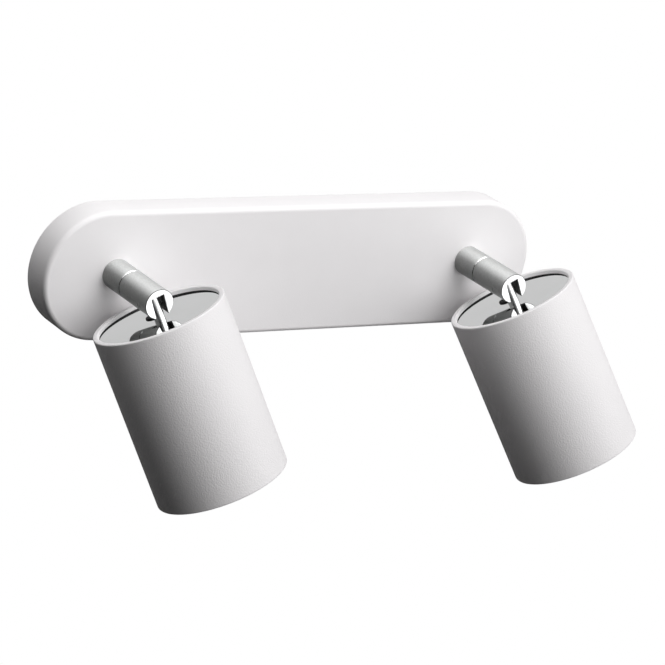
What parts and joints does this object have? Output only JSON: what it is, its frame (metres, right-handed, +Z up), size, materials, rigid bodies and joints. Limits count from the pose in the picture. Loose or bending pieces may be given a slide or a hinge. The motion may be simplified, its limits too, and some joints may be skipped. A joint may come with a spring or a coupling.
{
  "type": "wall spotlight",
  "caption": "Wall spotlight bar: obround white cover with swivelling forked arms that carry tilting tubular lamp heads with polished rear discs.",
  "frame": {"origin": "middle of the wall screw pattern, on the wall plane behind the cover", "axes": "+X along the bar to the right as seen from the room, +Y into the wall, +Z up"},
  "size_m": [0.2886, 0.1025, 0.1205],
  "materials": {
    "white_coat": "satin",
    "satin_nickel": "satin",
    "polished_chrome": "polished",
    "zinc_steel": "satin",
    "brass": "satin",
    "black_rubber": "matte",
    "black_plastic": "matte",
    "white_plastic": "satin",
    "white_ceramic": "matte",
    "lamp_glass": "satin"
  },
  "bodies": {
    "base": {"base_cover": "white_coat", "cover_screws": "zinc_steel", "wall_bracket": "zinc_steel", "cable_grommet": "black_rubber", "terminal_block": "white_plastic", "terminal_barrels": "brass", "terminal_clamp_screws": "zinc_steel", "terminal_fixing_screw": "zinc_steel", "earth_washer": "brass", "earth_screw": "brass", "arm_stub_left": "satin_nickel", "lock_washer_left": "zinc_steel", "stub_nut_left": "zinc_steel", "swivel_bolt_left": "zinc_steel", "swivel_washer_left": "black_plastic", "stop_pin_left": "zinc_steel", "arm_stub_right": "satin_nickel", "lock_washer_right": "zinc_steel", "stub_nut_right": "zinc_steel", "swivel_bolt_right": "zinc_steel", "swivel_washer_right": "black_plastic", "stop_pin_right": "zinc_steel"},
    "arm_left": {"arm_sleeve_left": "satin_nickel", "friction_spring_left": "zinc_steel", "hinge_pin_left": "satin_nickel", "hinge_washers_left": "black_plastic"},
    "head_left": {"hinge_tongue_left": "polished_chrome", "rear_disc_left": "polished_chrome", "stud_nuts_left": "zinc_steel", "wire_bush_left": "black_plastic", "head_tube_left": "white_coat", "seal_ring_left": "black_rubber", "retaining_ring_left": "zinc_steel", "holder_bracket_left": "zinc_steel", "lamp_holder_left": "white_ceramic", "holder_screws_left": "zinc_steel", "lamp_body_left": "white_plastic", "lamp_lens_left": "lamp_glass", "lamp_contacts_left": "brass"},
    "arm_right": {"arm_sleeve_right": "satin_nickel", "friction_spring_right": "zinc_steel", "hinge_pin_right": "satin_nickel", "hinge_washers_right": "black_plastic"},
    "head_right": {"hinge_tongue_right": "polished_chrome", "rear_disc_right": "polished_chrome", "stud_nuts_right": "zinc_steel", "wire_bush_right": "black_plastic", "head_tube_right": "white_coat", "seal_ring_right": "black_rubber", "retaining_ring_right": "zinc_steel", "holder_bracket_right": "zinc_steel", "lamp_holder_right": "white_ceramic", "holder_screws_right": "zinc_steel", "lamp_body_right": "white_plastic", "lamp_lens_right": "lamp_glass", "lamp_contacts_right": "brass"}
  },
  "joints": [
    {"name": "swivel_left", "type": "hinge", "parent": "base", "child": "arm_left", "pos_m": [-0.09409, -0.0153, 0.0015], "axis": [0, -1, 0], "range_deg": [-189.4, 140.6]},
    {"name": "tilt_left", "type": "hinge", "parent": "arm_left", "child": "head_left", "pos_m": [-0.09409, -0.0474, 0.0015], "axis": [-0.9107, 0, -0.4131], "range_deg": [-15.5, 74.5]},
    {"name": "swivel_right", "type": "hinge", "parent": "base", "child": "arm_right", "pos_m": [0.09409, -0.0153, 0.0015], "axis": [0, -1, 0], "range_deg": [-191.9, 138.1]},
    {"name": "tilt_right", "type": "hinge", "parent": "arm_right", "child": "head_right", "pos_m": [0.09409, -0.0474, 0.0015], "axis": [-0.8918, 0, -0.4524], "range_deg": [-17.5, 72.5]}
  ]
}
